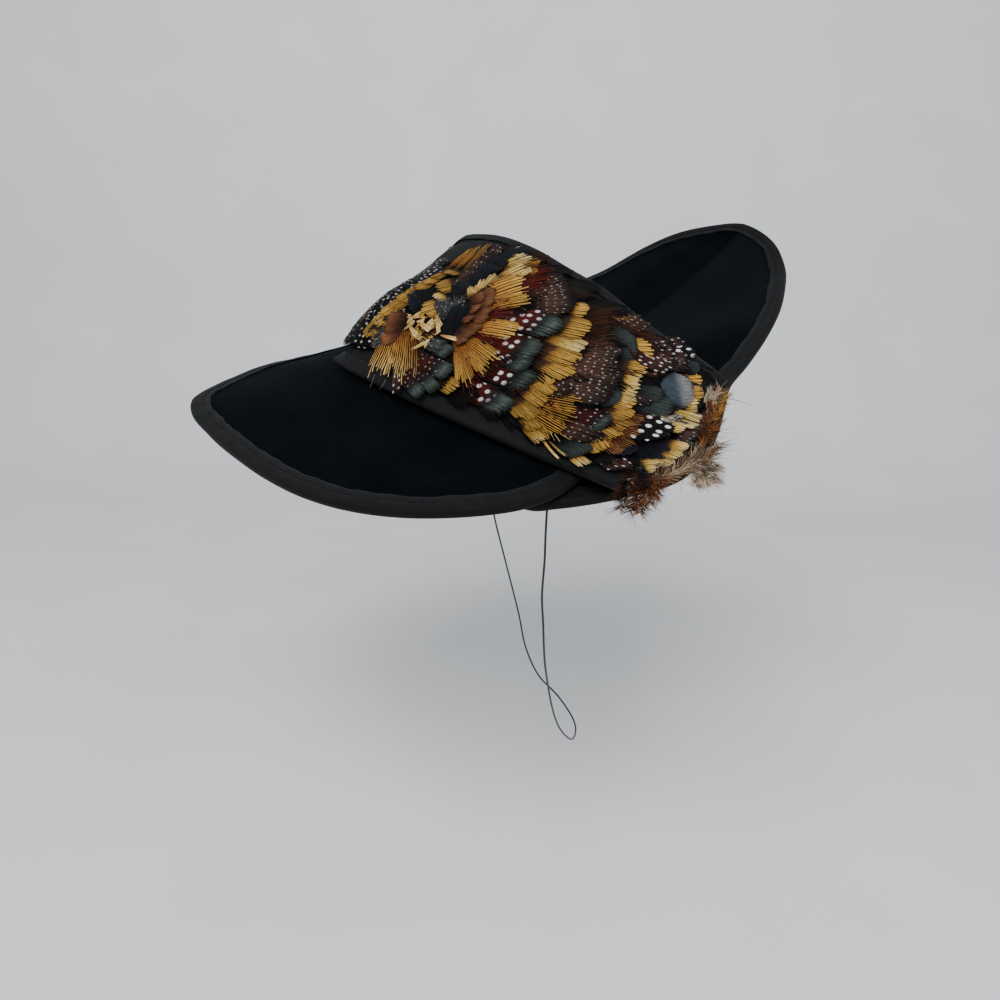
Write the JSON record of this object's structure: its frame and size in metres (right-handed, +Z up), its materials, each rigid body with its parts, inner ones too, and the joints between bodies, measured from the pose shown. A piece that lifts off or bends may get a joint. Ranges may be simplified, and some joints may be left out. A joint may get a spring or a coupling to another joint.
{
  "type": "tilt hat",
  "caption": "Velvet tilt hat with a pointed back lobe, a turned-up rounded front wing, a wide feathered band over the shallow crown and a thin chin elastic.",
  "frame": {"origin": "inner top of the crown, where it sits on a head", "axes": "+Z up, +X along the hat towards the raised front wing, +Y away from the side the feather band's fringed foot is on"},
  "size_m": [0.3422, 0.2687, 0.32],
  "materials": {
    "velvet": "soft black velvet pile",
    "ribbon": "fine ribbed dull satin",
    "panel": "dark cloth",
    "feathers": "overlapping patterned feathers",
    "fluff": "loose rust and taupe feathers",
    "elastic": "covered cord"
  },
  "bodies": {
    "root": {"crown": "velvet", "brim_back": "velvet", "brim_front": "velvet", "binding_back": "ribbon", "binding_front": "ribbon", "band_base": "panel", "band_binding_back": "ribbon", "band_binding_front": "ribbon", "feather_field": "feathers", "feather_fringe": "fluff", "chin_elastic": "elastic"}
  },
  "joints": []
}
